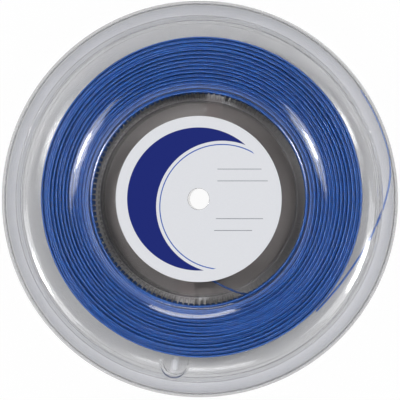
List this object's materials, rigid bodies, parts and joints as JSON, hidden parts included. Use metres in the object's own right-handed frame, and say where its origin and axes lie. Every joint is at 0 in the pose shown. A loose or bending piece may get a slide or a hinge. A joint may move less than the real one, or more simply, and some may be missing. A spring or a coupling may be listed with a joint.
{
  "type": "string reel",
  "caption": "Clear two-part reel with a finned hub, a spindle bore and closed-in rims, wound with blue racket string, and a round label on its front.",
  "frame": {"origin": "centre of the rear hub face, which the reel lies on", "axes": "+Z along the spindle axis, out of the front face with the label; +Y is up in the picture and +X to its right"},
  "size_m": [0.254, 0.254, 0.031],
  "materials": {
    "clear_moulding": "clear moulded polystyrene, polished",
    "blue_string": "extruded polyester, smooth with a soft shine",
    "label_paper": "printed self-adhesive label, satin"
  },
  "bodies": {
    "root": {"front_half": "clear_moulding", "rear_half": "clear_moulding", "front_label": "label_paper", "string_winding": "blue_string", "string_tail": "blue_string", "string_start": "blue_string"}
  },
  "joints": []
}
